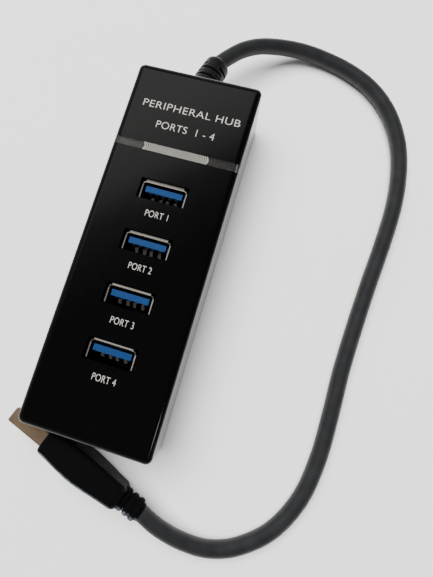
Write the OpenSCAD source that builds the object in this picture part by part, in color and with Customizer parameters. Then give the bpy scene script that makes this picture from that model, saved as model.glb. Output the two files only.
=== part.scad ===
// Four-port upright hub on a short captive cord.
// The body lies along Y with the cord leaving at +Y, its sockets open upwards (+Z), and the
// origin is the middle of the underside. All sizes are in millimetres.

/* [Body] */
// Width of the housing across the sockets
body_w = 38; // [36:0.5:44]
// Length of the housing
body_l = 110; // [106:1:130]
// Height of the housing
body_h = 23; // [22:0.5:26]
// Radius of the upright corners
corner_r = 1.8; // [1.6:0.1:3]
// Width of the low curve round the top
rim_w = 2; // [1.4:0.1:2.4]
// Height of the low curve round the top
rim_h = 1.2; // [1:0.1:2]
// Wall and floor thickness of the lower case
wall = 1.8; // [1.6:0.1:2.2]
// Height of the top cover's skirt above the seam
cover_h = 2.4; // [2.4:0.1:3]

/* [Sockets] */
// Number of sockets
port_count = 4; // [1:1:4]
// Distance from one socket to the next
port_pitch = 15.8; // [14:0.1:16]
// Middle of the first socket, measured from the middle of the body
first_port_y = 16.3; // [14:0.1:17]
// Outer width of a socket's steel shield
shield_w = 13.1; // [13:0.1:13.4]
// Outer depth of a socket's steel shield
shield_d = 5.7; // [5.6:0.1:5.8]

/* [Light bar] */
// Middle of the clear light bar, measured from the middle of the body
bar_y = 29.2; // [26:0.1:31]
// Width of the clear light bar
bar_w = 2.6; // [2:0.1:3]
// Length of the ridged stretch that spreads the light
ridged_l = 19.8; // [15:0.2:24]

/* [Board] */
// Thickness of the circuit board
board_t = 1.6; // [1.2:0.2:1.6]
// Height of the board's underside above the table
board_z = 4.2; // [4:0.1:5]

/* [Cord] */
// Diameter of the cord
cord_d = 5; // [4.6:0.1:5]
// Height of the cord's outlet above the table
outlet_z = 11.5; // [11:0.5:12]

/* [Plug] */
// Length of bare plug shell ahead of the moulding
shell_reach = 12.4; // [11.5:0.1:12.5]
// Width of the plug's moulded grip
grip_w = 15.8; // [15:0.1:16]
// Thickness of the plug's moulded grip at its front
grip_t = 7.3; // [7:0.1:8]
// Length of the plug's moulded grip
grip_l = 26.7; // [25:0.1:28]

/* [Hidden] */

$fn = 48;
eps = 0.01;          // overshoot of a cut past the face it opens
fillet_fn = 32;      // sides of the round pieces inside a hull

// Heights of the body, from the table up
seam_z = body_h - cover_h;              // where the cover meets the lower case
seam_gap = 0.3;                         // height of the groove that shows at the seam
seam_step = 0.5;                        // depth of that groove
plate_t = 1.8;                          // thickness of the cover's flat top
plate_z = body_h - plate_t;             // its inner face
board_top = board_z + board_t;

// Screws and their posts, one near each corner
screw_x = body_w / 2 - 4.6;
screw_y = body_l / 2 - 5;
screw_r = 1;                            // core of the thread
screw_hole_r = 1.1;
screw_head_r = 1.9;
screw_head_t = 1.3;
screw_seat_z = 1.9;                     // depth of the counterbore in the underside
screw_reach = 12;                       // height of the screw's tip
post_r = 3;
boss_r = 2.4;

// Sockets: the shield stands on the board and ends just under the cover's top face
sheet = 0.3;                            // thickness of the steel
mouth_z = body_h - 0.45;                // highest edge of the flared lips
flare_h = 0.9;                          // height of a flared lip
flare_out = 0.55;                       // how far a lip leans outwards
long_lip = 11.3;                        // the lips stop short of the corners
short_lip = 4.2;
short_lip_y = -0.2;                     // middle of a short lip
window_w = shield_w + 1.2;              // opening in the cover
window_d = shield_d + 0.4;
window_y = 0.4;                         // it covers the edge of the wall that has no lip
low_wall_z = plate_z - 0.1;             // top of that wall
low_wall_t = 0.35;
tongue_w = 11.1;
tongue_t = 1.84;
tongue_gap = 0.72;                      // between the tongue and the wall behind it
tongue_z = body_h - 1.7;                // tip of the tongue
block_z = board_top + 6;                // top of the moulded block under the tongue
port_fit = 0.05;                        // clearance between moulding and shield
leg_w = 1.4;
leg_drop = 2.4;                         // reach of a shield's leg below the board's top
contact_t = 0.25;
contact_x = [-3.5, -1, 1, 3.5];         // the four bowed contacts
contact_w = 1;
pad_x = [-4, -2, 0, 2, 4];              // the five flat contacts at the tongue's tip
pad_w = 0.8;

// Light bar
bar_skin = 1;                           // thickness over the top and down the sides
bar_clear = 0.05;
bar_keel_z = 19.8;                      // underside of the ridged keel
ridge_pitch = 0.7;
peg_x = 12.2;
peg_r = 0.55;

// Cord: straight out of the strain relief, down to the table, round and back to the plug.
// Each point is [x, y, z]; on the table the middle of the cord is half a diameter up.
lie = cord_d / 2 + 0.1;
relief_path = [[-0.5, 55, outlet_z], [-0.3, 58, outlet_z], [0.1, 61, outlet_z],
               [0.8, 64, outlet_z], [2, 68.3, outlet_z]];
relief_r = [5.1, 4];                     // at the wall and at the far end
relief_rib = 0.6;                       // depth of the grooves between the ribs
relief_y = body_l / 2 - wall - 1.5;     // inner end of the sleeve
plug_tip = [-24.2, -56, 8.2];            // middle of the plug's front edge
plug_turn = -19;                        // heading of the plug's axis, from +X
plug_lean = 6;                          // lean of its upper side towards the body
neck_l = 6.7;                            // ribbed neck behind the grip
neck_end = shell_reach + grip_l + neck_l;
cord_route = [
    relief_path[4], [4.5, 71.5, 11.3], [8, 75.5, 10.6], [12.5, 79.2, 9], [17.5, 82, 6.9],
    [23, 84, 5], [29, 84.9, 3.5], [36, 84.3, lie], [43, 82.2, lie], [50, 78.8, lie],
    [56, 74, lie], [61, 67.6, lie], [65, 59, lie], [67.2, 49, lie], [67.9, 38, lie],
    [67.2, 25, lie], [66, 12, lie], [65, -2, lie], [64.3, -16, lie], [64.3, -30, lie],
    [63.8, -43, lie], [61.5, -55, lie], [56, -65.5, lie], [48, -72.6, lie],
    [40, -75.6, 3.4], [32, -75.2, 5.6], [25, -73.3, 7.7],
    plug_tip + neck_end * [cos(plug_turn), sin(plug_turn), 0]
];
cord_sides = 10;

// Plug pieces, in the plug's own axes: X along it from the tip, Y through its thickness
// and Z across its width
plug_w = 12;
plug_t = 4.5;
shell_l = shell_reach + 7;              // the shell runs on inside the moulding
plug_blade_t = 1.9;
neck_r = 2.8;
ring_r = 3.5;
grip_r = 1.6;                           // rounding of the grip's long edges
inner_w = 11;
inner_t = 5.2;

// ---------------------------------------------------------------- shared shapes

// Point on a smooth curve through a list of points, at u from 0 at p[i] to 1 at p[i + 1]
function spline_point(p, i, u) =
    let (n = len(p) - 1, b = p[i], c = p[min(i + 1, n)],
         a = i > 0 ? p[i - 1] : 2 * b - c, d = i + 1 < n ? p[i + 2] : 2 * c - b)
    0.5 * (2 * b + (c - a) * u + (2 * a - 5 * b + 4 * c - d) * u * u
           + (3 * b - a - 3 * c + d) * u * u * u);

// The whole curve, with a number of steps between neighbouring points
function spline(p, steps) = [
    for (i = [0 : len(p) - 2]) for (k = [0 : steps - 1]) spline_point(p, i, k / steps),
    p[len(p) - 1]
];

function unit(v) = v / norm(v);
function heading(p, i) = unit(p[min(i + 1, len(p) - 1)] - p[max(i - 1, 0)]);

// Ring of points round p[i], square to the curve
function ring(p, i, r, sides) =
    let (t = heading(p, i), side = unit(cross(t, [0, 0, 1])), up = cross(side, t))
    [for (k = [0 : sides - 1])
        let (a = 360 * (k + 0.5) / sides) p[i] + r * (cos(a) * side + sin(a) * up)];

// Round tube swept along p; r holds one radius for each point of p
module swept_tube(p, r, sides) {
    last = len(p) - 1;
    points = [for (i = [0 : last]) each ring(p, i, r[i], sides)];
    walls = [for (i = [0 : last - 1]) for (k = [0 : sides - 1])
        let (a = i * sides + k, b = i * sides + (k + 1) % sides)
        each [[a, a + sides, b], [b, a + sides, b + sides]]];
    first_cap = [for (k = [1 : sides - 2]) [0, k, k + 1]];
    last_cap = [for (k = [1 : sides - 2])
        [last * sides, last * sides + k + 1, last * sides + k]];
    polyhedron(points, concat(walls, first_cap, last_cap), convexity = 10);
}

// Four thin discs in the corners of the body's outline, drawn in from it by inset
module corner_discs(inset, z) {
    r = max(corner_r - inset, 0.4);
    for (x = [-1, 1], y = [-1, 1])
        translate([x * (body_w / 2 - inset - r), y * (body_l / 2 - inset - r), z])
            cylinder(h = eps, r = r, $fn = fillet_fn);
}

// Outer shape of the body: upright corners, a small foot radius and a low curve round the top
module body_shape() {
    foot_r = 0.6;
    hull() {
        corner_discs(foot_r, 0);
        corner_discs(0, foot_r);
        for (a = [0 : 15 : 90])
            corner_discs(rim_w * (1 - cos(a)), body_h - rim_h + (rim_h - eps) * sin(a));
    }
}

module at_each_screw() {
    for (x = [-1, 1], y = [-1, 1]) translate([x * screw_x, y * screw_y, 0]) children();
}

// Block centred on X and Y that stands at height z
module block(w, d, h, z) {
    translate([-w / 2, -d / 2, z]) cube([w, d, h]);
}

// ---------------------------------------------------------------- housing

// Tub with four posts for the board, the outlet for the cord and the screws' seats
module lower_case() {
    inner_w = body_w - 2 * wall;
    inner_l = body_l - 2 * wall;
    rim_w = body_w - 2 * seam_step;
    rim_l = body_l - 2 * seam_step;
    color("#161616") difference() {
        union() {
            difference() {
                body_shape();
                block(body_w + 1, body_l + 1, body_h, seam_z);
                difference() {
                    block(body_w + 1, body_l + 1, seam_gap + eps, seam_z - seam_gap);
                    block(rim_w, rim_l, 2, seam_z - 1);
                }
                block(inner_w, inner_l, body_h, wall);
            }
            at_each_screw() cylinder(h = board_z, r = post_r);
        }
        at_each_screw() {
            translate([0, 0, -eps]) cylinder(h = screw_seat_z, r = screw_head_r + 0.2);
            cylinder(h = body_h, r = screw_hole_r + 0.1);
        }
        translate([0, body_l / 2 + eps, outlet_z])
            rotate([90, 0, 0]) cylinder(h = 2 * wall, r = 4.1);
    }
}

// Lid with four windows, the channel of the light bar and four hollow bosses for the screws
module top_cover() {
    skirt_w = body_w - 2 * wall - 0.3;
    skirt_l = body_l - 2 * wall - 0.3;
    skirt_t = 1;
    skirt_drop = 2;
    color("#0d0d0e") difference() {
        union() {
            difference() {
                body_shape();
                block(body_w + 1, body_l + 1, 2 * seam_z, -seam_z);
                block(skirt_w - 2 * skirt_t, skirt_l - 2 * skirt_t, plate_z, 0);
            }
            difference() {
                block(skirt_w, skirt_l, skirt_drop + 1, seam_z - skirt_drop);
                block(skirt_w - 2 * skirt_t, skirt_l - 2 * skirt_t, body_h, 0);
            }
            at_each_screw() translate([0, 0, board_top])
                cylinder(h = plate_z - board_top + 0.5, r = boss_r);
        }
        at_each_screw() cylinder(h = screw_reach + 1, r = screw_hole_r);
        for (i = [0 : port_count - 1])
            translate([0, port_y(i) + window_y, 0]) block(window_w, window_d, body_h + 1, seam_z - 3);
        translate([0, bar_y, 0]) {
            difference() {
                block(body_w + 1, bar_w, body_h, seam_z - eps);
                block(body_w - 2 * bar_skin, bar_w + 1, body_h - bar_skin, 0);
            }
            block(ridged_l, bar_w, body_h, seam_z - 3);
            for (x = [-1, 1]) translate([x * peg_x, 0, seam_z]) cylinder(h = 3, r = peg_r + bar_clear);
        }
    }
}

// Clear strip that crosses the cover and wraps over its sides, with a ridged keel and two pegs
module light_bar() {
    strip_w = bar_w - 2 * bar_clear;
    keel_l = ridged_l - 2 * bar_clear;
    color("#d8dcd8", 0.6) translate([0, bar_y, 0]) {
        difference() {
            intersection() {
                translate([0, -bar_y, 0]) body_shape();
                block(body_w + 1, strip_w, body_h, seam_z);
            }
            block(body_w - 2 * bar_skin + 2 * bar_clear, bar_w, body_h - bar_skin + bar_clear, 0);
        }
        difference() {
            block(keel_l, strip_w, body_h - bar_skin + 0.1 - bar_keel_z, bar_keel_z);
            for (i = [0 : floor(keel_l / ridge_pitch) - 1])
                translate([(i + 0.5) * ridge_pitch - keel_l / 2, 0, bar_keel_z])
                    rotate([90, 0, 0]) cylinder(h = bar_w, r = ridge_pitch / 2, $fn = 4, center = true);
        }
        for (x = [-1, 1]) translate([x * peg_x, 0, plate_z]) cylinder(h = plate_t - 0.5, r = peg_r);
    }
}

module case_screws() {
    color("silver") at_each_screw() difference() {
        union() {
            translate([0, 0, screw_seat_z - screw_head_t]) cylinder(h = screw_head_t, r = screw_head_r);
            cylinder_from(screw_seat_z - 0.1, screw_reach, screw_r);
        }
        for (a = [0, 90]) rotate(a) block(2.2, 0.5, 0.8, screw_seat_z - screw_head_t - eps);
    }
}

module cylinder_from(z0, z1, r) {
    translate([0, 0, z0]) cylinder(h = z1 - z0, r = r);
}

// ---------------------------------------------------------------- sockets

function port_y(i) = first_port_y - i * port_pitch;

// The shield's four legs, at the middles of the board's slots
module at_each_leg() {
    for (x = [-1, 1], y = [-1, 1])
        translate([x * (shield_w - sheet) / 2, y * 1.5, 0]) children();
}

// One flared lip of a given length, leaning towards +Y
module lip(length) {
    translate([-length / 2, 0, 0]) rotate([90, 0, 90]) linear_extrude(length)
        polygon([[-sheet, 0], [0, 0], [flare_out, flare_h], [flare_out - sheet, flare_h]]);
}

// Steel tube on four legs, with a flared lip along three sides of its mouth. The fourth wall is
// lower, because the edge of the cover's window lies over it.
module port_shield(i) {
    flare_z = mouth_z - flare_h;
    color("#c9c6bd") translate([0, port_y(i), 0]) {
        difference() {
            block(shield_w, shield_d, flare_z - board_top, board_top);
            block(shield_w - 2 * sheet, shield_d - 2 * sheet, body_h, 0);
            translate([0, -shield_d / 2, 0]) block(shield_w + 1, 2 * low_wall_t, body_h, low_wall_z);
        }
        translate([0, shield_d / 2, flare_z]) lip(long_lip);
        for (s = [-1, 1]) translate([s * shield_w / 2, short_lip_y, flare_z])
            rotate(-90 * s) lip(short_lip);
        at_each_leg() block(sheet, leg_w, leg_drop + 0.1, board_top - leg_drop);
    }
}

// Blue moulding: a block that fills the foot of the shield and the tongue that stands on it
module port_insulator(i) {
    core_w = shield_w - 2 * sheet - 2 * port_fit;
    core_d = shield_d - 2 * sheet - 2 * port_fit;
    color("#1a5696") translate([0, port_y(i), 0]) {
        block(core_w, core_d, block_z - board_top, board_top);
        translate([0, tongue_y(), 0])
            block(tongue_w, tongue_t, tongue_z - block_z + 0.1, block_z - 0.1);
    }
}

function tongue_y() = shield_d / 2 - sheet - tongue_gap - tongue_t / 2;

// Four bowed contacts in front of the tongue and five flat ones near its tip
module port_contacts(i) {
    face_y = tongue_y() - tongue_t / 2;
    bow_z = block_z + 4.5;
    top_z = tongue_z - 3.8;
    bow = [[face_y, block_z], [face_y - contact_t, block_z], [face_y - 1.2, bow_z],
           [face_y - contact_t, top_z], [face_y, top_z], [face_y - 1.2 + contact_t, bow_z]];
    color("#c8a44c") translate([0, port_y(i), 0]) {
        for (x = contact_x) translate([x - contact_w / 2, 0, 0])
            rotate([90, 0, 90]) linear_extrude(contact_w) polygon(bow);
        for (x = pad_x) translate([x - pad_w / 2, face_y - 0.1, tongue_z - 3.2])
            cube([pad_w, 0.1, 2.4]);
    }
}

// ---------------------------------------------------------------- board and its parts

module circuit_board() {
    slot_w = 1;
    slot_l = 2.2;
    color("#1d5a35") difference() {
        block(body_w - 2 * wall - 0.6, body_l - 2 * wall - 0.6, board_t, board_z);
        at_each_screw() cylinder(h = body_h, r = screw_hole_r + 0.2);
        for (i = [0 : port_count - 1]) translate([0, port_y(i), 0])
            at_each_leg() block(slot_w, slot_l, body_h, 0);
        for (x = [-1, 1], s = [-1, 1])
            translate([x * lamp_x + s * lamp_leg_x, bar_y, 0]) cylinder(h = body_h, r = 0.5);
    }
}

// Flat chip with a row of legs along each of its four sides
module hub_controller() {
    chip_w = 10;
    chip_t = 1.4;
    leg_pitch = 0.8;
    legs = 11;
    color("#202124") translate([0, 38, board_top]) {
        block(chip_w, chip_w, chip_t, 0.1);
        for (a = [0 : 90 : 270]) rotate(a) for (k = [0 : legs - 1])
            translate([(k - (legs - 1) / 2) * leg_pitch, chip_w / 2 + 0.45, 0]) block(0.35, 1.1, 0.3, 0);
    }
}

module crystal() {
    length = 7;
    color("silver") translate([11, 36, board_top]) {
        for (y = [-1, 1]) translate([0, y * length / 2, 0]) cylinder(h = 3.2, r = 1.9);
        block(3.8, length, 3.2, 0);
    }
}

module voltage_regulator() {
    color("#26262a") translate([-11, 37, board_top]) {
        block(3.6, 6.5, 1.6, 0.1);
        translate([2.4, 0, 0]) block(1.5, 3, 0.3, 0);
        for (y = [-2.3, 0, 2.3]) translate([-2.4, y, 0]) block(1.5, 0.8, 0.3, 0);
    }
}

// One round can near the cord and a ceramic pair beside each socket
module capacitors() {
    color("#b9a283") {
        translate([11, 45.2, 0]) cylinder_from(board_top, board_top + 6, 2.2);
        for (i = [0 : port_count - 1], y = [-1, 1])
            translate([10.2, port_y(i) + 2 * y, 0]) block(1.6, 0.9, 0.9, board_top);
    }
}

module resistors() {
    color("#333333") {
        for (i = [0 : port_count - 1], y = [-1, 1])
            translate([-10.2, port_y(i) + 2 * y, 0]) block(1.6, 0.8, 0.5, board_top);
        for (x = [-4, -2, 2, 4]) translate([x, 24.5, 0]) block(0.8, 1.6, 0.5, board_top);
    }
}

lamp_x = 5.5;
lamp_r = 1.4;
lamp_leg_x = 1.27;

// Two small lamps on wire legs under the keel of the light bar
module indicator_lamps() {
    lens_z = 16;
    color("#cfe4f5") for (x = [-1, 1]) translate([x * lamp_x, bar_y, 0]) {
        cylinder_from(lens_z - 1.8, lens_z, lamp_r);
        translate([0, 0, lens_z]) sphere(lamp_r);
        for (s = [-1, 1]) translate([s * lamp_leg_x * 0.7, 0, 0])
            cylinder_from(board_top - 1.2, lens_z - 1.7, 0.25);
    }
}

// Insulated conductors in two layers, fanning out from the strain relief to the board's edge
module inner_wires() {
    wires = 9;
    wire_r = 0.4;
    bundle_pitch = 0.5;
    bundle_z = 0.7;
    pad_pitch = 1.3;
    start_y = relief_y;
    color("#b8442e") for (k = [0 : wires - 1]) {
        m = k - (wires - 1) / 2;
        z = outlet_z + (k % 2 == 0 ? bundle_z : -bundle_z);
        path = spline([[m * bundle_pitch, start_y, z], [m * bundle_pitch, start_y - 1, z],
                       [m * pad_pitch * 0.8, start_y - 3.6, z - 2.6],
                       [m * pad_pitch, start_y - 6.4, board_top + 2 * wire_r],
                       [m * pad_pitch, start_y - 8, board_top + wire_r + 0.05]], 2);
        swept_tube(path, [for (p = path) wire_r], 8);
    }
}

// ---------------------------------------------------------------- cord and plug

// Flexible sleeve: a flange inside the wall, a neck through it and a ribbed taper outside
module strain_relief() {
    outside = spline(relief_path, 4);
    last = len(outside) - 1;
    taper = [for (i = [0 : last]) let (u = i / last) relief_r[0] * (1 - u) + relief_r[1] * u
             - (i % 4 == 3 ? relief_rib : 0)];
    flange_t = 1.4;
    inside = [[0, relief_y, outlet_z], [0, relief_y + flange_t, outlet_z],
              [0, relief_y + flange_t + eps, outlet_z], [0, body_l / 2 + 0.05, outlet_z]];
    color("#2b2c2c") swept_tube(
        concat(inside, [for (p = outside) p + [0, 0.1, 0]]),
        concat([5.2, 5.2, 4, 4], taper), 20);
}

module cord() {
    start = cord_route[0] + [0, 0.1, 0];
    route = spline(concat([start], [for (i = [1 : len(cord_route) - 1]) cord_route[i]]), 2);
    color("#26282a") swept_tube(route, [for (p = route) cord_d / 2], cord_sides);
}

// Takes a piece from the plug's own axes to the place where the plug lies
module place_plug() {
    translate(plug_tip) rotate([0, 0, plug_turn]) rotate([-plug_lean, 0, 0]) children();
}

// Block along the plug's axis from x0, centred on Y and Z
module plug_block(x0, length, t, w) {
    translate([x0, -t / 2, -w / 2]) cube([length, t, w]);
}

// Steel tube with two square latch holes in each wide side
module plug_shell() {
    latch_x = 5.2;
    latch_z = 2.9;
    latch_size = 2.2;
    color("#b9b3a8") place_plug() difference() {
        plug_block(0, shell_l, plug_t, plug_w);
        plug_block(-1, shell_l + 2, plug_t - 2 * sheet, plug_w - 2 * sheet);
        for (z = [-1, 1]) translate([latch_x, 0, z * latch_z])
            plug_block(0, latch_size, plug_t + 1, latch_size);
    }
}

// Blue blade along one wide side of the shell, on a block that closes the shell's rear
module plug_insulator() {
    core_t = plug_t - 2 * sheet - 2 * port_fit;
    core_w = plug_w - 2 * sheet - 2 * port_fit;
    rear_x = shell_reach - 1;
    color("#1a5696") place_plug() {
        translate([0, (core_t - plug_blade_t) / 2, 0])
            plug_block(0.6, rear_x, plug_blade_t, core_w);
        plug_block(rear_x, shell_l - rear_x, core_t, core_w);
    }
}

module plug_contacts() {
    blade_y = (plug_t - 2 * sheet - 2 * port_fit) / 2 - plug_blade_t;
    color("#c8a44c") place_plug() {
        for (z = contact_x) translate([1.6, blade_y - 0.1, z - contact_w / 2])
            cube([6.4, 0.1, contact_w]);
        for (z = pad_x) translate([8.8, blade_y - 0.35, z - pad_w / 2]) cube([2, 0.35, pad_w]);
    }
}

// Hard core that is moulded round the soldered joints before the grip is moulded over it
module plug_inner_mould() {
    color("#d9d4c3") place_plug()
        plug_block(shell_l, shell_reach + grip_l - 4 - shell_l, inner_t, inner_w);
}

// Soft grip with rounded long edges, then a neck with a collar and a slotted ring
module plug_grip() {
    // [distance along the plug, thickness, width] of the grip from front to rear
    sections = [[0, grip_t, grip_w], [grip_l * 0.45, grip_t + 1.4, grip_w],
                [grip_l - 2.7, grip_t + 0.7, grip_w - 2.8], [grip_l, grip_t - 0.5, grip_w - 4.8]];
    x0 = shell_reach;
    x1 = x0 + grip_l;
    color("#1c1d1f") place_plug() difference() {
        union() {
            hull() for (s = sections, y = [-1, 1], z = [-1, 1])
                translate([x0 + s[0], y * (s[1] / 2 - grip_r), z * (s[2] / 2 - grip_r)])
                    rotate([0, 90, 0]) cylinder(h = eps, r = grip_r, $fn = 16);
            along_x(x1 - 1, neck_l + 1, neck_r);
            along_x(x1 - 1, 2.65, ring_r);
            along_x(x1 + 2.3, 3.7, ring_r);
        }
        plug_block(x0 - 1, shell_l - x0 + 1, plug_t, plug_w);
        plug_block(shell_l - eps, shell_reach + grip_l - 4 - shell_l + eps, inner_t, inner_w);
        for (z = [-1, 1]) translate([x1 + 3.8, 0, z * ring_r]) plug_block(0, 0.8, 2 * ring_r, 1.2);
    }
}

module along_x(x0, length, r) {
    translate([x0, 0, 0]) rotate([0, 90, 0]) cylinder(h = length, r = r);
}

lower_case();
top_cover();
light_bar();
circuit_board();
port_shield(0);  // port_shield_1
port_shield(1);  // port_shield_2
port_shield(2);  // port_shield_3
port_shield(3);  // port_shield_4
port_insulator(0);  // port_insulator_1
port_insulator(1);  // port_insulator_2
port_insulator(2);  // port_insulator_3
port_insulator(3);  // port_insulator_4
port_contacts(0);  // port_contacts_1
port_contacts(1);  // port_contacts_2
port_contacts(2);  // port_contacts_3
port_contacts(3);  // port_contacts_4
hub_controller();
crystal();
voltage_regulator();
capacitors();
resistors();
indicator_lamps();
case_screws();
inner_wires();
strain_relief();
cord();
plug_shell();
plug_insulator();
plug_contacts();
plug_inner_mould();
plug_grip();
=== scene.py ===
"""Four-port upright hub with a short captive cord, lying on a pale floor."""
from math import cos, pi, radians, sin

import bmesh
import bpy
from mathutils import Matrix, Vector


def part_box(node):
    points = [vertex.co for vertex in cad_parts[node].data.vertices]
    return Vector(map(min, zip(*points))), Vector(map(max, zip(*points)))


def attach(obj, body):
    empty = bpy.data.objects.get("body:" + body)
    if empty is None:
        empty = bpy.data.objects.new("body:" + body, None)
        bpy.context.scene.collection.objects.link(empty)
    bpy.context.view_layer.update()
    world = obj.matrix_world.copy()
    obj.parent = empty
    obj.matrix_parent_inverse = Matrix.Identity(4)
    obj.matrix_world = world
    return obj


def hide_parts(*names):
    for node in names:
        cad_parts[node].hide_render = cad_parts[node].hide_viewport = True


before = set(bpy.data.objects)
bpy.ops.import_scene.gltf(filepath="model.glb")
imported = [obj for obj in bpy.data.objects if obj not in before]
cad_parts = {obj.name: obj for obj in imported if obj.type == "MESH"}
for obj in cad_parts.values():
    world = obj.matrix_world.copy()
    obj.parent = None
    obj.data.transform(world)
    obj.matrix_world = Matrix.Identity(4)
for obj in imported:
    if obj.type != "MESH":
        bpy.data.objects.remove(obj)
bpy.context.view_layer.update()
MM = 0.001
BODY = "root"


def box_mm(node):
    """Lowest and highest corners of a CAD node, in millimetres."""
    low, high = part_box(node)
    return Vector(low) / MM, Vector(high) / MM


case_low, case_high = box_mm("lower_case")
bar_low, bar_high = box_mm("light_bar")
BODY_W = case_high.x - case_low.x
BODY_L = case_high.y - case_low.y
BODY_H = box_mm("top_cover")[1].z
SEAM_Z = case_high.z
BAR_Y = (bar_low.y + bar_high.y) / 2
BAR_W = bar_high.y - bar_low.y
CORD_D = 5.0
OUTLET_Z = 11.5                 # middle of the cord where it leaves the hub
PORTS = range(1, 5)
PLUG_TIP = Vector((-24.2, -56, 8.2))    # middle of the steel shell's open end
PLUG_TURN = radians(-19)
PLUG_LEAN = radians(-6)
PLUG_PLACE = (Matrix.Translation(PLUG_TIP) @ Matrix.Rotation(PLUG_TURN, 4, "Z")
              @ Matrix.Rotation(PLUG_LEAN, 4, "X"))

# ------------------------------------------------------------------ camera

PICTURE_H = 577
CAMERA_AT = Vector((0.0280, -0.0259, 0.1406))
CAMERA_AIM = Vector((0.0130, -0.0084, 0.0230))
CAMERA_UP = radians(17.0)       # heading on the table that points up in the picture, left of +Y
FOCAL_PX = 440
SHIFT_PX = 36


def make_camera():
    data = bpy.data.cameras.new("camera")
    data.sensor_fit = "VERTICAL"
    data.sensor_height = 36
    data.lens = data.sensor_height * FOCAL_PX / PICTURE_H
    data.shift_x = SHIFT_PX / PICTURE_H
    data.clip_start = 0.005
    data.clip_end = 20
    camera = bpy.data.objects.new("camera", data)
    bpy.context.collection.objects.link(camera)
    back = (CAMERA_AT - CAMERA_AIM).normalized()
    up_hint = Vector((-sin(CAMERA_UP), cos(CAMERA_UP), 0))
    right = up_hint.cross(back).normalized()
    up = back.cross(right)
    rotation = Matrix((right, up, back)).transposed().to_4x4()
    camera.matrix_world = Matrix.Translation(CAMERA_AT) @ rotation
    bpy.context.scene.camera = camera


make_camera()

# ------------------------------------------------------------------ materials


class Nodes:
    """Short hand for building one material's node tree."""

    def __init__(self, name):
        self.material = bpy.data.materials.new(name)
        self.material.use_nodes = True
        self.tree = self.material.node_tree
        self.shader = self.tree.nodes["Principled BSDF"]

    def add(self, kind, **inputs):
        node = self.tree.nodes.new(kind)
        for key, value in inputs.items():
            node.inputs[key.replace("_", " ")].default_value = value
        return node

    def link(self, output, target):
        self.tree.links.new(output, target)

    def set(self, **values):
        for key, value in values.items():
            self.shader.inputs[key.replace("_", " ")].default_value = value

    def coords(self, scale):
        """Object coordinates, in metres, stretched by scale."""
        source = self.add("ShaderNodeTexCoord")
        mapping = self.add("ShaderNodeMapping", Scale=scale)
        self.link(source.outputs["Object"], mapping.inputs["Vector"])
        return mapping.outputs["Vector"]

    def noise(self, per_mm, detail=3, roughness=0.5, scale=(1, 1, 1)):
        node = self.add("ShaderNodeTexNoise", Scale=per_mm / MM, Detail=detail, Roughness=roughness)
        self.link(self.coords(scale), node.inputs["Vector"])
        return node.outputs["Fac"]

    def ramp(self, value, low, high, to_low=0.0, to_high=1.0):
        node = self.add("ShaderNodeMapRange")
        node.inputs["From Min"].default_value = low
        node.inputs["From Max"].default_value = high
        node.inputs["To Min"].default_value = to_low
        node.inputs["To Max"].default_value = to_high
        self.link(value, node.inputs["Value"])
        return node.outputs["Result"]

    def colour_mix(self, fac, first, second):
        """Base colour, from first where fac is 0 to second where it is 1."""
        node = self.add("ShaderNodeMix")
        node.data_type = "RGBA"
        for socket in node.inputs:
            if socket.name in "AB" and socket.type == "RGBA":
                socket.default_value = (*(first if socket.name == "A" else second), 1)
        self.link(fac, node.inputs["Factor"])
        result = next(s for s in node.outputs if s.type == "RGBA")
        self.link(result, self.shader.inputs["Base Color"])

    def roughness(self, value, low, high):
        self.link(self.ramp(value, 0.3, 0.7, low, high), self.shader.inputs["Roughness"])

    def bump(self, height, depth_mm, strength):
        node = self.add("ShaderNodeBump", Strength=strength, Distance=depth_mm * MM)
        self.link(height, node.inputs["Height"])
        self.link(node.outputs["Normal"], self.shader.inputs["Normal"])


def piano_black(name, base, rough_low, rough_high, dust=0.0):
    """Polished black plastic with faint smears and, on the lid, a few specks of dust."""
    m = Nodes(name)
    smear = m.noise(0.09, detail=4, roughness=0.6)
    m.roughness(smear, rough_low, rough_high)
    m.set(IOR=1.5)
    speck = m.noise(1.6, detail=2, roughness=0.55)
    m.colour_mix(m.ramp(speck, 0.77, 0.80, 0, dust), base, (0.05, 0.049, 0.047))
    m.bump(m.noise(0.05, detail=2), 0.01, 0.15)
    return m.material


def rubber(name, base, high, rough_low, rough_high, grain_mm=0.02, shine=0.5):
    m = Nodes(name)
    m.shader.inputs["Specular IOR Level"].default_value = shine
    m.colour_mix(m.ramp(m.noise(0.25, detail=4), 0.3, 0.7), base, high)
    m.roughness(m.noise(0.7, detail=3), rough_low, rough_high)
    m.set(IOR=1.5)
    m.bump(m.noise(5, detail=3), grain_mm, 0.35)
    return m.material


def grip_with_painted_highlight(name, base, highlight_colour):
    """Rubber of the plug's grip, with a painted pale highlight along the upper edges that look away from
    the hub.
    """
    m = Nodes(name)
    m.shader.inputs["Specular IOR Level"].default_value = 0.03
    normal = m.add("ShaderNodeNewGeometry").outputs["Normal"]
    turn = PLUG_PLACE.to_3x3()
    # painted highlight: the pale colour goes where the surface faces away from the hub and upwards, broken
    # up by noise
    fac = m.ramp(m.noise(0.45, detail=4, roughness=0.7), 0.38, 0.62, 0.3, 1.0)
    for axis, low, high in (((0, -1, 0), 0.48, 0.66), ((0, 0, 1), 0.28, 0.42)):
        facing = m.add("ShaderNodeVectorMath")
        facing.operation = "DOT_PRODUCT"
        facing.inputs[1].default_value = turn @ Vector(axis)
        m.link(normal, facing.inputs[0])
        product = m.add("ShaderNodeMath")
        product.operation = "MULTIPLY"
        m.link(fac, product.inputs[0])
        m.link(m.ramp(facing.outputs["Value"], low, high), product.inputs[1])
        fac = product.outputs[0]
    m.colour_mix(fac, base, highlight_colour)
    m.roughness(m.noise(0.7, detail=3), 0.45, 0.6)
    m.bump(m.noise(5, detail=3), 0.01, 0.35)
    return m.material


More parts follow.
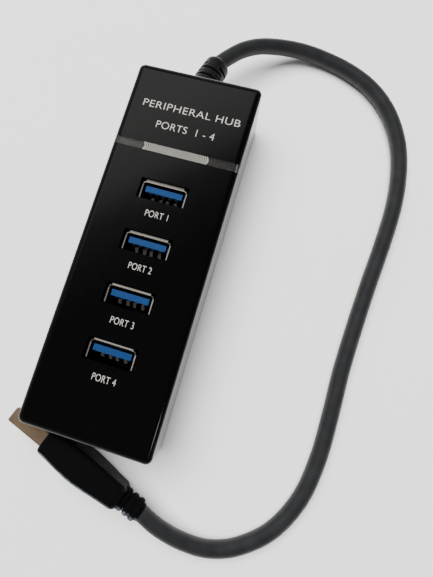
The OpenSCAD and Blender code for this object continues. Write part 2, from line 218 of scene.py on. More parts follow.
def plated_metal(name, base, rough_low, rough_high, brush=(1, 1, 1), metallic=1.0):
    """Plated sheet: fine drawn lines that follow the brush direction."""
    m = Nodes(name)
    m.set(Metallic=metallic)
    lines = m.noise(6, detail=3, scale=brush)
    m.roughness(lines, rough_low, rough_high)
    shade = 0.82                    # brightness of the duller patches
    dark = tuple(c * shade for c in base)
    m.colour_mix(m.ramp(m.noise(0.5, detail=2), 0.3, 0.7), dark, base)
    m.bump(lines, 0.004, 0.3)
    return m.material


def moulded(name, base, high, rough_low=0.35, rough_high=0.5):
    m = Nodes(name)
    m.colour_mix(m.ramp(m.noise(0.8, detail=3), 0.3, 0.7), base, high)
    m.roughness(m.noise(1.5, detail=2), rough_low, rough_high)
    m.bump(m.noise(7, detail=2), 0.006, 0.3)
    return m.material


def socket_painted_shade(name, shade_colour, near_mouth, low_mm, high_mm, metallic, rough_low, rough_high):
    """Inside of a socket, with painted shade: the colour fades to a dark one from high_mm down to low_mm.
    """
    m = Nodes(name)
    m.set(Metallic=metallic)
    source = m.add("ShaderNodeTexCoord")
    split = m.add("ShaderNodeSeparateXYZ")
    m.link(source.outputs["Object"], split.inputs["Vector"])
    # painted shade: the colour darkens with depth below the socket's mouth
    m.colour_mix(m.ramp(split.outputs["Z"], low_mm * MM, high_mm * MM), shade_colour, near_mouth)
    lines = m.noise(4, detail=3, scale=(1, 1, 0.1))
    m.roughness(lines, rough_low, rough_high)
    m.bump(lines, 0.004, 0.25)
    return m.material


def clear_acrylic(name, rough_low, rough_high, milk=0.0):
    """Clear plastic; milk is the share of it that scatters light."""
    m = Nodes(name)
    m.set(IOR=1.49)
    m.shader.inputs["Transmission Weight"].default_value = 1.0 - milk
    m.colour_mix(m.noise(0.3), (0.80, 0.79, 0.76), (0.95, 0.94, 0.91))
    m.roughness(m.noise(1.2), rough_low, rough_high)
    return m.material


MATERIALS = {
    "cover": piano_black("cover_gloss", (0.0008, 0.0008, 0.0009), 0.05, 0.1, dust=0.6),
    "case": piano_black("case_gloss", (0.0012, 0.0012, 0.0013), 0.14, 0.22),
    "sleeve": rubber("sleeve_rubber", (0.004, 0.0041, 0.0043), (0.006, 0.0061, 0.0064),
                     0.4, 0.52, shine=0.4),
    # the grip's pale edge colour is a painted highlight
    "grip": grip_with_painted_highlight("grip_rubber", (0.0028, 0.0029, 0.0032), (0.13, 0.145, 0.17)),
    "jacket": rubber("cord_jacket", (0.013, 0.0136, 0.0146), (0.018, 0.0188, 0.0202),
                     0.38, 0.48, 0.012, 0.25),
    # the socket's steel and blue moulding darken towards the bottom: painted shade
    "shield": socket_painted_shade("nickel_sheet", (0.004, 0.004, 0.004), (0.92, 0.86, 0.77),
                     21.55, 21.75, 1.0, 0.16, 0.3),
    # the brown tint of the plug's steel is a painted reflection of brown surroundings
    "plug_shell": plated_metal("plug_nickel_painted_reflection", (0.125, 0.087, 0.054), 0.3, 0.42, (0.3, 1, 1), 0.35),
    "blue": socket_painted_shade("blue_moulding", (0.0003, 0.0008, 0.002), (0.001, 0.027, 0.105),
                   20.2, 20.9, 0.0, 0.35, 0.5),
    "core_blue": moulded("plug_moulding", (0.004, 0.05, 0.17), (0.006, 0.06, 0.2)),
    "gold": plated_metal("gold_contact", (0.78, 0.60, 0.28), 0.2, 0.34),
    "contact": plated_metal("worn_contact", (0.15, 0.145, 0.135), 0.3, 0.45, metallic=0.3),
    "board": moulded("solder_mask", (0.01, 0.09, 0.035), (0.014, 0.12, 0.05), 0.25, 0.4),
    "epoxy": moulded("chip_epoxy", (0.012, 0.012, 0.013), (0.02, 0.02, 0.021), 0.45, 0.6),
    "ceramic": moulded("ceramic", (0.35, 0.25, 0.15), (0.45, 0.34, 0.22), 0.5, 0.65),
    "core": moulded("moulded_core", (0.6, 0.56, 0.44), (0.68, 0.64, 0.52), 0.4, 0.6),
    "wire": moulded("wire_insulation", (0.36, 0.03, 0.02), (0.45, 0.05, 0.03), 0.35, 0.5),
    "steel": plated_metal("zinc_steel", (0.6, 0.6, 0.6), 0.25, 0.4),
    "lens": moulded("lamp_epoxy", (0.5, 0.6, 0.7), (0.6, 0.7, 0.8), 0.1, 0.2),
    "print": moulded("white_print", (0.36, 0.35, 0.325), (0.44, 0.43, 0.40), 0.4, 0.55),
    "acrylic": clear_acrylic("clear_acrylic", 0.01, 0.04, 0.012),
    "ridges": moulded("ridge_white", (0.44, 0.42, 0.38), (0.58, 0.56, 0.51), 0.2, 0.35),
    "ridge_bed": moulded("ridge_shade", (0.006, 0.006, 0.005), (0.010, 0.010, 0.009), 0.4, 0.5),
}

# ------------------------------------------------------------------ mesh helpers

BEVEL_FROM = radians(40)        # edges sharper than this are bevelled


def piece(name, verts, faces, material, smooth_angle=35):
    """Mesh object built in millimetres; settle() turns it into metres at the end."""
    mesh = bpy.data.meshes.new(name)
    mesh.from_pydata([tuple(v) for v in verts], [], faces)
    mesh.validate()
    mesh.materials.append(MATERIALS[material])
    obj = bpy.data.objects.new(name, mesh)
    bpy.context.collection.objects.link(obj)
    obj["smooth_angle"] = smooth_angle
    return obj


def bake(obj):
    """Applies an object's modifiers."""
    graph = bpy.context.evaluated_depsgraph_get()
    mesh = bpy.data.meshes.new_from_object(obj.evaluated_get(graph))
    obj.modifiers.clear()
    obj.data = mesh


def settle(obj, node=None, bevel=0.0, segments=2, place=None):
    if bevel:
        edge = obj.modifiers.new("edges", "BEVEL")
        edge.width = bevel
        edge.segments = segments
        edge.limit_method = "ANGLE"
        edge.angle_limit = BEVEL_FROM
        edge.harden_normals = False
        bake(obj)
    mesh = obj.data
    mesh.polygons.foreach_set("use_smooth", [True] * len(mesh.polygons))
    mesh.set_sharp_from_angle(angle=radians(obj["smooth_angle"]))
    del obj["smooth_angle"]
    weights = obj.modifiers.new("normals", "WEIGHTED_NORMAL")
    weights.keep_sharp = True
    weights.weight = 100
    bake(obj)
    matrix = Matrix.Scale(MM, 4)
    obj.data.transform(matrix if place is None else matrix @ place)
    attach(obj, BODY)
    if node:
        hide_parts(*([node] if isinstance(node, str) else node))
    return obj


def rounded_loop(w, d, r, z, steps=8):
    """Rounded rectangle round the Z axis, seen from above anticlockwise."""
    points = []
    for sx, sy, start in ((1, 1, 0), (-1, 1, 90), (-1, -1, 180), (1, -1, 270)):
        for k in range(steps + 1):
            a = radians(start + 90 * k / steps)
            x = sx * (w / 2 - r) + r * cos(a)
            y = sy * (d / 2 - r) + r * sin(a)
            points.append(Vector((x, y, z)))
    return points


def loft(loops, closed=False):
    """Skins loops that have the same number of points; open ends are capped."""
    n = len(loops[0])
    verts = [p for loop in loops for p in loop]
    faces = []
    count = len(loops)
    for i in range(count if closed else count - 1):
        j = (i + 1) % count
        for k in range(n):
            m = (k + 1) % n
            faces.append((i * n + k, i * n + m, j * n + m, j * n + k))
    if not closed:
        faces.append(tuple(reversed(range(n))))
        faces.append(tuple((count - 1) * n + k for k in range(n)))
    return verts, faces


def block(w, d, z0, z1, at=(0, 0)):
    """Box round a point of the XY plane, from z0 to z1."""
    loops = [[Vector((at[0] + sx * w / 2, at[1] + sy * d / 2, z))
              for sx, sy in ((1, 1), (-1, 1), (-1, -1), (1, -1))] for z in (z0, z1)]
    return loft(loops)


def merged(*parts):
    """Joins lists of vertices and faces."""
    verts, faces = [], []
    for v, f in parts:
        base = len(verts)
        verts += v
        faces += [tuple(base + i for i in face) for face in f]
    return verts, faces


def moved(part, matrix):
    """A part's vertices and faces, moved by a matrix."""
    return [matrix @ Vector(v) for v in part[0]], part[1]


def disc_stack(stations, sides=48):
    """Turned shape round Z from (radius, z) stations."""
    loops = [[Vector((r * cos(2 * pi * k / sides), r * sin(2 * pi * k / sides), z))
              for k in range(sides)] for r, z in stations]
    return loft(loops)


def fix_normals(obj):
    """Turns every face outwards."""
    mesh = bmesh.new()
    mesh.from_mesh(obj.data)
    bmesh.ops.recalc_face_normals(mesh, faces=mesh.faces)
    mesh.to_mesh(obj.data)
    mesh.free()


def cut(obj, *cutters, operation="DIFFERENCE"):
    """Cuts shapes, given as (verts, faces), out of an object, one after another."""
    for part in cutters:
        tool = piece("cutter", *part, "cover")
        step = obj.modifiers.new("cut", "BOOLEAN")
        step.operation = operation
        step.solver = "EXACT"
        step.object = tool
        bake(obj)
        bpy.data.objects.remove(tool)


# ------------------------------------------------------------------ cord

RELIEF_PATH = [Vector(p) for p in (
    (-0.5, 55, OUTLET_Z), (-0.3, 58, OUTLET_Z), (0.1, 61, OUTLET_Z), (0.8, 64, OUTLET_Z),
    (2, 68.3, OUTLET_Z))]
LIE = CORD_D / 2 + 0.1          # middle of the cord where it lies on the table
SHELL_REACH = 12.4              # steel ahead of the grip
GRIP_L = 26.7
NECK_L = 6.7
NECK_END = SHELL_REACH + GRIP_L + NECK_L
CORD_ROUTE = [Vector(p) for p in (
    (2, 68.3, 11.5), (4.5, 71.5, 11.3), (8, 75.5, 10.6), (12.5, 79.2, 9), (17.5, 82, 6.9),
    (23, 84, 5), (29, 84.9, 3.5), (36, 84.3, LIE), (43, 82.2, LIE), (50, 78.8, LIE),
    (56, 74, LIE), (61, 67.6, LIE), (65, 59, LIE), (67.2, 49, LIE), (67.9, 38, LIE),
    (67.2, 25, LIE), (66, 12, LIE), (65, -2, LIE), (64.3, -16, LIE), (64.3, -30, LIE),
    (63.8, -43, LIE), (61.5, -55, LIE), (56, -65.5, LIE), (48, -72.6, LIE),
    (40, -75.6, 3.4), (32, -75.2, 5.6), (25, -73.3, 7.7))]
CORD_ROUTE.append(PLUG_TIP + NECK_END * Vector((cos(PLUG_TURN), sin(PLUG_TURN), 0)))


def make_cord():
    """Round cord: a smooth curve through the route's points."""
    data = bpy.data.curves.new("cord_jacket", "CURVE")
    data.dimensions = "3D"
    data.resolution_u = 10
    data.bevel_depth = CORD_D / 2 * MM
    data.bevel_resolution = 8
    data.use_fill_caps = True
    spline = data.splines.new("BEZIER")
    points = [p * MM for p in CORD_ROUTE]
    spline.bezier_points.add(len(points) - 1)
    last = len(points) - 1
    for i, (knot, point) in enumerate(zip(spline.bezier_points, points)):
        knot.co = point
        before = points[max(i - 1, 0)]
        after = points[min(i + 1, last)]
        lead = (after - before) / (3 if i in (0, last) else 6)
        knot.handle_left_type = knot.handle_right_type = "FREE"
        knot.handle_left = point - lead
        knot.handle_right = point + lead
    data.materials.append(MATERIALS["jacket"])
    obj = bpy.data.objects.new("cord_jacket", data)
    bpy.context.collection.objects.link(obj)
    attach(obj, BODY)
    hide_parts("cord")
    return obj


cord = make_cord()

# ------------------------------------------------------------------ housing

CORNER_R = 1.8
TOP_CORNER_R = 0.4              # the least corner radius, at the top of the rim
RIM_W, RIM_H = 2.0, 1.2
SKIRT_EDGE = 0.12               # chamfer along the cover's lower edge
WALL = 1.8
CAVITY_R = 1.0
FOOT_R = 0.5                    # rounding of the tub's lower edge
SEAM_GAP = 0.3
SEAM_INSET = 0.5
PLATE_Z = BODY_H - 1.8          # underside of the lid's plate
WINDOW_W = 14.3
WINDOW_D = 6.1
WINDOW_R = 0.25
WINDOW_Y = 0.4                  # the window is off the tube's centre
SHEET = 0.3
SHIELD_W, SHIELD_D = 13.1, 5.7
SCREW_X = BODY_W / 2 - 4.6
SCREW_Y = BODY_L / 2 - 5
CORNERS = [(x * SCREW_X, y * SCREW_Y) for x in (-1, 1) for y in (-1, 1)]
SEAT_R, SEAT_TOP = 2.1, 1.9     # sink for a screw's head
POST_R, POST_TOP = 3, 4.2       # post at a screw
OUTLET_R = 4.15


def shell_loop(inset, z, r):
    """Outline of the hub, drawn in by inset."""
    return rounded_loop(BODY_W - 2 * inset, BODY_L - 2 * inset, r, z, steps=10)


def port_y(number):
    return box_mm(f"port_shield_{number}")[0].y + SHIELD_D / 2


def cover_loops():
    """Skirt edge, then the low curve of the rim up to the flat top."""
    loops = [shell_loop(SKIRT_EDGE, SEAM_Z, CORNER_R), shell_loop(0, SEAM_Z + SKIRT_EDGE, CORNER_R)]
    steps = 12
    for k in range(steps + 1):
        a = radians(90 * k / steps)
        inset = RIM_W * (1 - cos(a))
        z = BODY_H - RIM_H + RIM_H * sin(a)
        loops.append(shell_loop(inset, z, max(CORNER_R - inset, TOP_CORNER_R)))
    return loops


def windows():
    """Cutters for the four socket windows."""
    tube = loft([rounded_loop(WINDOW_W, WINDOW_D, WINDOW_R, z, 3) for z in (SEAM_Z - 1, BODY_H + 1)])
    return [moved(tube, Matrix.Translation((0, port_y(number) + WINDOW_Y, 0))) for number in PORTS]


BAR_SKIN = 1.0                  # thickness of the strip
BAR_GAP = 0.05                  # clearance between the strip and its channel
BAR_HALF_W = BAR_W / 2 - BAR_GAP
NOTCH_D = 0.3
RIDGED_L = 19.8
TEETH = 28
TOOTH_SECTION = ((0.14, 0.25), (0.11, 0), (-0.11, 0), (-0.14, 0.25))     # across, below the top
KEEL_Z = 19.8
PEG_X = 12.2


def bar_section(skin, foot_z):
    """Section of the light bar in the XZ plane: over the top and down both sides."""
    half = BODY_W / 2
    mid = half - RIM_W
    steps = 12
    arc = [(cos(radians(90 * k / steps)), sin(radians(90 * k / steps))) for k in range(steps + 1)]
    outer = [(half, foot_z)] + [(mid + RIM_W * c, BODY_H - RIM_H + RIM_H * v) for c, v in arc]
    core_h = RIM_H - 0.9 * skin
    core_z = BODY_H - skin - core_h
    inner = [(mid + (RIM_W - skin) * c, core_z + core_h * v) for c, v in reversed(arc)]
    inner.append((half - skin, foot_z))
    outer_left, inner_left = [[(-x, z) for x, z in reversed(part)] for part in (outer, inner)]
    return outer + outer_left + inner_left + inner


def along_y(section, y0, y1):
    """Section of the XZ plane, drawn out from y0 to y1."""
    return loft([[Vector((x, y, z)) for x, z in section] for y in (y1, y0)])


def make_cover():
    """Lid with its four windows, the channel across it for the light bar and the slot for its block."""
    obj = piece("cover_shell", *loft(cover_loops()), "cover")
    foot_z = SEAM_Z - 1
    cavity = [rounded_loop(BODY_W - 2 * WALL, BODY_L - 2 * WALL, CAVITY_R, z) for z in (foot_z, PLATE_Z)]
    cut(obj, loft(cavity), *windows())
    reach = BODY_W / 2 + 1
    core = BODY_W / 2 - BAR_SKIN - BAR_GAP
    core_z = BODY_H - BAR_SKIN - BAR_GAP
    channel = [(reach, foot_z), (reach, BODY_H + 1), (-reach, BODY_H + 1), (-reach, foot_z),
               (-core, foot_z), (-core, core_z), (core, core_z), (core, foot_z)]
    cut(obj, along_y(channel, BAR_Y - BAR_W / 2, BAR_Y + BAR_W / 2))
    cut(obj, block(RIDGED_L, BAR_W, foot_z, BODY_H, (0, BAR_Y)))
    settle(obj, "top_cover", bevel=0.12)


def at_corners(stations):
    """The same turned shape at each of the four screws."""
    return [moved(disc_stack(stations), Matrix.Translation((x, y, 0))) for x, y in CORNERS]


def make_case():
    """Tub with a rounded foot, a rim set back at the seam, the cord's outlet and four screw posts."""
    rim_z = SEAM_Z - SEAM_GAP
    rim_r = CORNER_R - SEAM_INSET
    loops = [shell_loop(FOOT_R, 0, CORNER_R), shell_loop(0.3 * FOOT_R, 0.3 * FOOT_R, CORNER_R),
             shell_loop(0, FOOT_R, CORNER_R), shell_loop(0, rim_z, CORNER_R),
             shell_loop(SEAM_INSET, rim_z, rim_r), shell_loop(SEAM_INSET, SEAM_Z, rim_r)]
    obj = piece("case_tub", *loft(loops), "case")
    cavity = [rounded_loop(BODY_W - 2 * WALL, BODY_L - 2 * WALL, CAVITY_R, z) for z in (WALL, BODY_H)]
    outlet_at = Matrix.Translation((RELIEF_PATH[0].x, BODY_L / 2, OUTLET_Z))
    outlet = moved(disc_stack([(OUTLET_R, -3), (OUTLET_R, 3)]), outlet_at @ Matrix.Rotation(pi / 2, 4, "X"))
    cut(obj, loft(cavity), outlet, *at_corners([(SEAT_R, -1), (SEAT_R, SEAT_TOP)]))
    cut(obj, *at_corners([(POST_R, WALL), (POST_R, POST_TOP)]), operation="UNION")
    settle(obj, "lower_case", bevel=0.08)


def make_light_bar():
    """Clear strip with a shallow notch along its middle, and a peg near each end."""
    strip = along_y(bar_section(BAR_SKIN, SEAM_Z), BAR_Y - BAR_HALF_W, BAR_Y + BAR_HALF_W)
    obj = piece("bar_strip", *strip, "acrylic")
    fix_normals(obj)
    cut(obj, block(RIDGED_L, 2 * BAR_W, BODY_H - NOTCH_D, BODY_H + 1, (0, BAR_Y)))
    settle(obj, "light_bar", bevel=0.14, segments=3)
    peg_top = BODY_H - BAR_SKIN
    peg = disc_stack([(0.55, PLATE_Z), (0.55, peg_top - 0.15), (0.3, peg_top)], 24)
    pegs = merged(*(moved(peg, Matrix.Translation((side * PEG_X, BAR_Y, 0))) for side in (-1, 1)))
    settle(piece("bar_pegs", *pegs, "acrylic"))


def make_ridges():
    """Two rows of slanted ridges in the strip's notch, and the dark block under them."""
    pitch = RIDGED_L / TEETH
    top = BODY_H - 0.01
    end = RIDGED_L / 2 - 0.15
    teeth = []
    for row, slant in ((0, 1.0), (1, -1.0)):
        y0 = BAR_Y - BAR_HALF_W + 0.03 + row * BAR_HALF_W
        y1 = y0 + BAR_HALF_W - 0.08
        for k in range(TEETH):
            x = -RIDGED_L / 2 + (k + 0.5) * pitch
            tooth = []
            for y, dx in ((y1, slant * pitch / 2), (y0, -slant * pitch / 2)):
                centre = min(max(x + dx, -end), end)
                tooth.append([Vector((centre + u, y, top - drop)) for u, drop in TOOTH_SECTION])
            teeth.append(loft(tooth))
    ridges = piece("bar_ridges", *merged(*teeth), "ridges", 20)
    fix_normals(ridges)
    settle(ridges)
    bed = block(RIDGED_L - 0.1, 2 * BAR_HALF_W, KEEL_Z, top - 0.22, (0, BAR_Y))
    settle(piece("bar_keel", *bed, "ridge_bed"), bevel=0.05)


make_cover()
make_case()
make_light_bar()
make_ridges()

# ------------------------------------------------------------------ sockets

LIP_SHEET = 0.2
LIP_L = 0.95                    # length of a lip's slope
LIP_CURL = (38, 60)             # its lean at the root and at the tip, in degrees from upright
LONG_LIP, SHORT_LIP = 11.3, 4.2
SHORT_LIP_Y = -0.2
# turn in degrees, length, width of the tube that way, shift, share of the full slope
LIPS = ((0, LONG_LIP, SHIELD_D, 0, 1.0), (90, SHORT_LIP, SHIELD_W, SHORT_LIP_Y, 0.5),
        (270, SHORT_LIP, SHIELD_W, -SHORT_LIP_Y, 0.75))
LEG_H = 2.4                     # legs that go down through the board
TONGUE_W, TONGUE_T, TONGUE_GAP = 11.1, 1.84, 0.72
CONTACT_X = (-3.5, -1, 1, 3.5)
BLOCK_H = 6.0
BLOCK_GAP = 0.7                 # the block is this much smaller than the shield's outside
TONGUE_Y = SHIELD_D / 2 - SHEET - TONGUE_GAP - TONGUE_T / 2


def lip_profile(share=1.0):
    """Points up the inner face of a lip, from a root at the origin, each with its lean."""
    steps = 8
    points, y, z = [(0, 0, 0)], 0, 0
    for k in range(steps):
        lean = radians(LIP_CURL[0] + (LIP_CURL[1] - LIP_CURL[0]) * k / (steps - 1))
        y += share * LIP_L / steps * sin(lean)
        z += share * LIP_L / steps * cos(lean)
        points.append((y, z, lean))
    return points


LIP_RISE = lip_profile()[-1][1]


def lip(length, z0, share):
    """Springy lip that leans outwards, along X; the root of its inner face is at Y = -SHEET."""
    profile = lip_profile(share)
    outline = [(y - SHEET, z0 + z) for y, z, lean in profile]
    outline += [(y - SHEET + LIP_SHEET * cos(lean), z0 + z - LIP_SHEET * sin(lean))
                for y, z, lean in reversed(profile)]
    return loft([[Vector((sx * length / 2, y, z)) for y, z in outline] for sx in (-1, 1)])


def make_shield(number):
    """Drawn steel tube with rounded corners and three curled lips. The wall nearest the plug
    has no lip and ends lower, under the edge of the cover's window."""
    low, high = box_mm(f"port_shield_{number}")
    board_top = low.z + LEG_H
    flare_z = high.z - LIP_RISE
    outer = [rounded_loop(SHIELD_W, SHIELD_D, 0.7, z) for z in (board_top, flare_z)]
    inner = [rounded_loop(SHIELD_W - 2 * SHEET, SHIELD_D - 2 * SHEET, 0.45, z)
             for z in (flare_z, board_top)]
    for p in outer[1] + inner[0]:
        if p.y < -SHIELD_D / 2 + 0.8:
            p.z = PLATE_Z - 0.1
    parts = [loft(outer + inner, closed=True)]
    for turn, length, reach, shift, share in LIPS:
        place = Matrix.Rotation(radians(turn), 4, "Z") @ Matrix.Translation((shift, reach / 2, 0))
        parts.append(moved(lip(length, flare_z, share), place))
    for sx in (-1, 1):
        for sy in (-1, 1):
            at = (sx * (SHIELD_W - SHEET) / 2, sy * 1.5)
            parts.append(block(SHEET, 1.4, low.z, board_top + 0.1, at))
    shape = moved(merged(*parts), Matrix.Translation((0, port_y(number), 0)))
    obj = piece(f"shield_{number}", *shape, "shield")
    fix_normals(obj)
    settle(obj, f"port_shield_{number}", bevel=0.05)


def make_insulator(number):
    """Blue block and tongue; the tongue has chamfered edges and four slots for the contacts."""
    low, high = box_mm(f"port_insulator_{number}")
    body = block(SHIELD_W - BLOCK_GAP, SHIELD_D - BLOCK_GAP, low.z, low.z + BLOCK_H)
    base = piece(f"insulator_{number}", *body, "blue")
    tongue = block(TONGUE_W, TONGUE_T, low.z + BLOCK_H - 0.5, high.z, (0, TONGUE_Y))
    cut(base, tongue, operation="UNION")
    grooves = [block(1.2, 0.3, low.z + BLOCK_H - 1, high.z - 3.4, (x, TONGUE_Y - TONGUE_T / 2))
               for x in CONTACT_X]
    cut(base, *grooves)
    settle(base, f"port_insulator_{number}", bevel=0.14,
           place=Matrix.Translation((0, port_y(number), 0)))


for number in PORTS:
    make_shield(number)
    make_insulator(number)

# ------------------------------------------------------------------ strain relief


def curve_point(points, u):
    """Point and heading at u (0 to 1) on a smooth curve through points."""
    n = len(points) - 1
    i = min(int(u * n), n - 1)
    t = u * n - i
    b, c = points[i], points[i + 1]
    a = points[i - 1] if i else 2 * b - c
    d = points[i + 2] if i + 2 <= n else 2 * c - b
    square = 2 * a - 5 * b + 4 * c - d
    cube = 3 * b - a - 3 * c + d
    at = 0.5 * (2 * b + (c - a) * t + square * t * t + cube * t ** 3)
    heading = 0.5 * ((c - a) + 2 * square * t + 3 * cube * t * t)
    return at, heading.normalized()


def smooth_step(low, high, x):
    """0 at low and 1 at high, level at both ends."""
    t = min(max((x - low) / (high - low), 0), 1)
    return t * t * (3 - 2 * t)


RELIEF_L = 13.3
ROOT_R, TIP_R = 5.1, 4.0
RELIEF_NECK_R = 4.0             # through the wall
FLANGE_R, FLANGE_T = 5.2, 1.4   # inside the wall
FIRST_SLOT = 2.85               # middle of the first slot, from the sleeve's far end
SLOT_PITCH = 1.485
SLOT_HALF = 0.32
SLOT_DEPTH = 0.85
SLOT_REACH = 62                 # degrees that a slot runs to each side of its middle


def slot_depth(distance, angle):
    """Depth of the staggered slots, at a distance back from the sleeve's far end."""
    k = round((distance - FIRST_SLOT) / SLOT_PITCH)
    if k < 0 or distance > RELIEF_L - 1.2:
        return 0
    across = abs(distance - FIRST_SLOT - k * SLOT_PITCH)
    centre = (0, 180) if k % 2 == 0 else (90, 270)
    away = min(abs((angle - c + 180) % 360 - 180) for c in centre)
    ends = smooth_step(SLOT_REACH, SLOT_REACH - 12, away)
    return SLOT_DEPTH * smooth_step(SLOT_HALF, SLOT_HALF * 0.45, across) * ends


def make_strain_relief():
    """Tapered sleeve with staggered slots, a neck through the wall and a flange inside."""
    along, around = 220, 72
    off_wall = Vector((0, 0.1, 0))
    x0 = RELIEF_PATH[0].x
    loops = []
    inside = BODY_L / 2 - WALL - 1.5
    turns = [2 * pi * k / around for k in range(around)]
    for y, r in ((inside, FLANGE_R), (inside + FLANGE_T, FLANGE_R), (inside + FLANGE_T, RELIEF_NECK_R),
                 (BODY_L / 2 + 0.05, RELIEF_NECK_R)):
        loops.append([Vector((x0 + r * cos(a), y, OUTLET_Z + r * sin(a))) for a in turns])
    for j in range(along + 1):
        u = j / along
        at, heading = curve_point(RELIEF_PATH, u)
        side = heading.cross(Vector((0, 0, 1))).normalized()
        up = side.cross(heading)
        distance = (1 - u) * RELIEF_L
        r = ROOT_R + (TIP_R - ROOT_R) * u
        tip_rounding = 1.3 * (1 - min(distance / 1.5, 1)) ** 2.2
        root_rounding = 0.35 * (1 - min(u * RELIEF_L / 0.4, 1)) ** 2
        r -= tip_rounding + root_rounding
        loop = []
        for k in range(around):
            angle = 360 * k / around
            outwards = cos(radians(angle)) * side + sin(radians(angle)) * up
            loop.append(at + (r - slot_depth(distance, angle)) * outwards + off_wall)
        loops.append(loop)
    verts, faces = loft(loops)
    faces = [tuple(reversed(f)) for f in faces]
    obj = piece("relief_sleeve", verts, faces, "sleeve", 50)
    fix_normals(obj)
    return settle(obj, "strain_relief")


relief = make_strain_relief()

# ------------------------------------------------------------------ plug

PLUG_W, PLUG_T = 12.0, 4.5
GRIP_W, GRIP_T = 15.8, 7.3
# radius of the neck, and place behind the grip's body
NECK = ((2.9, -1), (3.4, -0.8), (3.5, -0.3), (3.5, 1.25), (3.3, 1.5), (2.8, 1.75), (2.8, 2.0),
        (3.3, 2.3), (3.5, 2.6), (3.5, 3.5), (3.15, 3.65), (3.15, 4.35), (3.5, 4.5), (3.5, 5.5),
        (3.3, 5.9), (2.75, 6.0), (2.7, NECK_L))


def plug_loop(x, w, t, r, steps=10):
    """Rounded section square to the plug's axis; w runs along Z and t along Y."""
    return [Vector((x, p.y, p.x)) for p in rounded_loop(w, t, r, 0, steps)]


def make_plug_shell():
    """Folded steel tube with latch holes in both wide sides."""
    length = SHELL_REACH + 7        # the grip hides the last 7 mm
    front = 0.35                    # length of the drawn-in edge at the open end
    outer = [plug_loop(0, PLUG_W - 0.3, PLUG_T - 0.3, 0.5), plug_loop(front, PLUG_W, PLUG_T, 0.6),
             plug_loop(length, PLUG_W, PLUG_T, 0.6)]
    inner = [plug_loop(length, PLUG_W - 0.6, PLUG_T - 0.6, 0.35),
             plug_loop(0, PLUG_W - 0.8, PLUG_T - 0.8, 0.3)]
    obj = piece("plug_tube", *loft(outer + inner, closed=True), "plug_shell")
    fix_normals(obj)
    hole = 2.2
    for z in (-2.9, 2.9):
        cut(obj, block(hole, 2 * PLUG_T, z - hole / 2, z + hole / 2, (5.2 + hole / 2, 0)))
    return settle(obj, "plug_shell", bevel=0.05, place=PLUG_PLACE)


def make_grip():
    """Soft grip that swells a little, with a sunk panel on each wide side and a slotted neck."""
    x0, x1 = SHELL_REACH, SHELL_REACH + GRIP_L
    loops = []
    stations = 64
    for j in range(stations + 1):
        u = j / stations
        x = x0 + GRIP_L * u
        front = 1 - min(u * GRIP_L / 1.0, 1)
        rear = 1 - min((1 - u) * GRIP_L / 1.6, 1)
        swell = smooth_step(0, 0.45, u) * 1.4
        taper = smooth_step(0.45, 1.0, u)
        t = GRIP_T + swell - 1.6 * taper - 0.7 * front ** 2 - 1.4 * rear ** 2
        w = GRIP_W - 3.6 * smooth_step(0.4, 1.05, u) - 0.9 * front ** 2 - 1.9 * rear ** 2
        loop = plug_loop(x, w, t, min(1.7, t / 2 - 0.2), 12)
        for p in loop:
            panel = smooth_step(2.6, 3.6, x - x0) * smooth_step(18.8, 17.8, x - x0)
            panel *= smooth_step(5.3, 4.6, abs(p.z))
            if abs(p.y) > t / 2 - 0.05:
                p.y -= 0.4 * panel * (1 if p.y > 0 else -1)
        loops.append(loop)
    body = loft(loops)
    neck = disc_stack([(r, x1 + behind) for r, behind in NECK], 56)
    neck = moved(neck, Matrix.Rotation(pi / 2, 4, "Y"))
    obj = piece("grip_moulding", *merged(body, neck), "grip", 42)
    fix_normals(obj)
    return settle(obj, "plug_grip", place=PLUG_PLACE)


plug_tube = make_plug_shell()
grip = make_grip()

# ------------------------------------------------------------------ printed lettering


def lettering(name, words, x, y, cap_mm, width_mm):
    """Words printed on the lid: a thin raised mesh, centred on x and y, fitted to a width."""
    data = bpy.data.curves.new(name, "FONT")
    data.body = words
    data.align_x = "CENTER"
    data.align_y = "CENTER"
    data.extrude = 0.01
    data.offset = -0.008
    data.space_character = 1.06
    text = bpy.data.objects.new(name, data)
    bpy.context.collection.objects.link(text)
    bpy.context.view_layer.update()
    mesh = bpy.data.meshes.new_from_object(text)
    bpy.data.objects.remove(text)
    xs = [v.co.x for v in mesh.vertices]
    ys = [v.co.y for v in mesh.vertices]
    fit = Matrix.Diagonal((width_mm / (max(xs) - min(xs)), cap_mm / (max(ys) - min(ys)), 1, 1))
    mesh.transform(Matrix.Scale(MM, 4) @ Matrix.Translation((x, y, BODY_H)) @ fit)
    mesh.materials.clear()
    mesh.materials.append(MATERIALS["print"])
    obj = bpy.data.objects.new(name, mesh)
    bpy.context.collection.objects.link(obj)
    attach(obj, BODY)


lettering("title_upper", "PERIPHERAL HUB", 0.7, 42.4, 2.2, 29.6)
lettering("title_lower", "PORTS  1 - 4", 0.6, 36.5, 2.2, 17.6)
for number in PORTS:
    lettering(f"label_{number}", f"PORT {number}", 0.5, port_y(number) - 6.65, 1.9, 6.7)

# ------------------------------------------------------------------ finish of the CAD pieces that stay

KEPT = {
    "circuit_board": "board", "hub_controller": "epoxy", "crystal": "steel",
    "voltage_regulator": "epoxy", "capacitors": "ceramic", "resistors": "epoxy",
    "indicator_lamps": "lens", "case_screws": "steel", "inner_wires": "wire",
    "plug_insulator": "core_blue", "plug_contacts": "gold", "plug_inner_mould": "core",
    **{f"port_contacts_{number}": "contact" for number in PORTS},
}
for node, finish in KEPT.items():
    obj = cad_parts[node]
    obj.data.materials.clear()
    obj.data.materials.append(MATERIALS[finish])

# ------------------------------------------------------------------ floor and light


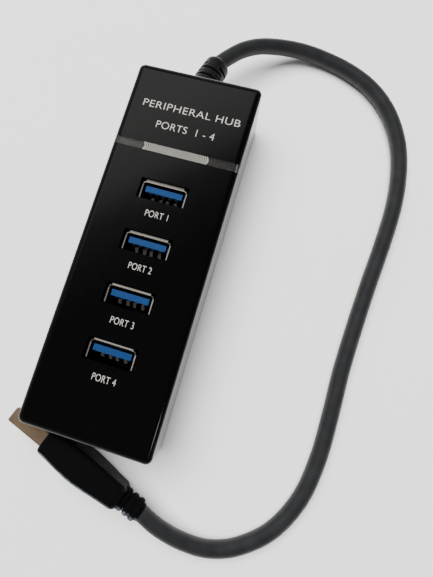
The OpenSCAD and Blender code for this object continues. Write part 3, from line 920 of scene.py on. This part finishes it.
def make_floor():
    half = 3.0
    corners = [(-half, -half, 0), (half, -half, 0), (half, half, 0), (-half, half, 0)]
    mesh = bpy.data.meshes.new("floor")
    mesh.from_pydata(corners, [], [(0, 1, 2, 3)])
    floor = bpy.data.objects.new("floor", mesh)
    bpy.context.collection.objects.link(floor)
    m = Nodes("pale_floor")
    m.colour_mix(m.noise(0.02), (0.93, 0.93, 0.93), (0.96, 0.96, 0.96))
    m.set(Roughness=0.8)
    mesh.materials.append(m.material)


def area_light(name, at, aim, size, power, colour=(1, 1, 1), mirrored=True):
    """Rectangular lamp; one that isn't mirrored lights surfaces but doesn't show in their gloss."""
    data = bpy.data.lights.new(name, "AREA")
    data.shape = "RECTANGLE"
    data.size, data.size_y = size
    data.energy = power
    data.color = colour
    light = bpy.data.objects.new(name, data)
    bpy.context.collection.objects.link(light)
    back = (Vector(at) - Vector(aim)).normalized()
    light.matrix_world = Matrix.Translation(at) @ back.to_track_quat("Z", "Y").to_matrix().to_4x4()
    light.visible_glossy = light.visible_transmission = mirrored


def make_world():
    """Dim room with one broad soft window high on the far left and a paler band near the horizon."""
    world = bpy.data.worlds.new("studio")
    bpy.context.scene.world = world
    world.use_nodes = True
    tree = world.node_tree
    background = tree.nodes["Background"]

    def maths(kind, first, second):
        node = tree.nodes.new("ShaderNodeMath")
        node.operation = kind
        for socket, value in zip(node.inputs, (first, second)):
            if isinstance(value, (int, float)):
                socket.default_value = value
            else:
                tree.links.new(value, socket)
        return node.outputs["Value"]

    def ramp(value, stops):
        """Piecewise curve through (value, brightness) stops."""
        low, high = stops[0][0], stops[-1][0]
        share = maths("DIVIDE", maths("SUBTRACT", value, low), high - low)
        node = tree.nodes.new("ShaderNodeValToRGB")
        tree.links.new(share, node.inputs["Fac"])
        while len(node.color_ramp.elements) < len(stops):
            node.color_ramp.elements.new(0.5)
        for element, (position, _) in zip(node.color_ramp.elements, stops):
            element.position = (position - low) / (high - low)
        # moving an element can change their order, so the levels are set once all are in place
        for element, (_, level) in zip(node.color_ramp.elements, stops):
            element.color = (level, level, level, 1)
        return node.outputs["Color"]

    coords = tree.nodes.new("ShaderNodeTexCoord")
    split = tree.nodes.new("ShaderNodeSeparateXYZ")
    tree.links.new(coords.outputs["Generated"], split.inputs["Vector"])
    lowest = 0.04                   # keeps the division finite at the horizon
    height = maths("MAXIMUM", split.outputs["Z"], lowest)
    east = maths("DIVIDE", split.outputs["X"], height)
    north = maths("DIVIDE", split.outputs["Y"], height)
    across = maths("SUBTRACT", maths("MULTIPLY", north, 0.73), maths("MULTIPLY", east, 0.68))
    edge = ((0.26, 0.0), (0.34, 0.05), (0.42, 0.16), (0.5, 0.62), (0.62, 0.85), (0.8, 0.9))
    window = ramp(across, edge)
    window = maths("MULTIPLY", window, ramp(east, ((-0.8, 0.0), (-0.55, 1.0))))
    window = maths("MULTIPLY", window, ramp(north, ((0.8, 1.0), (1.05, 0.0))))
    band = ramp(split.outputs["Z"], ((0.0, 0.75), (0.3, 0.6), (0.5, 0.3), (0.75, 0.075), (1.0, 0.075)))
    band = maths("MULTIPLY", band, ramp(split.outputs["X"], ((-0.2, 1.0), (0.4, 0.5))))
    tree.links.new(maths("ADD", window, band), background.inputs["Strength"])
    background.inputs["Color"].default_value = (1, 0.985, 0.96, 1)


make_floor()
make_world()
area_light("overhead", (-0.5, 0.5, 2.0), (0, 0, 0), (1.8, 1.8), 125, (1, 0.99, 0.975), mirrored=False)
area_light("rim_light", (0.63, -0.3, 1.335), (0, 0, 0), (0.1, 0.1), 0.3)
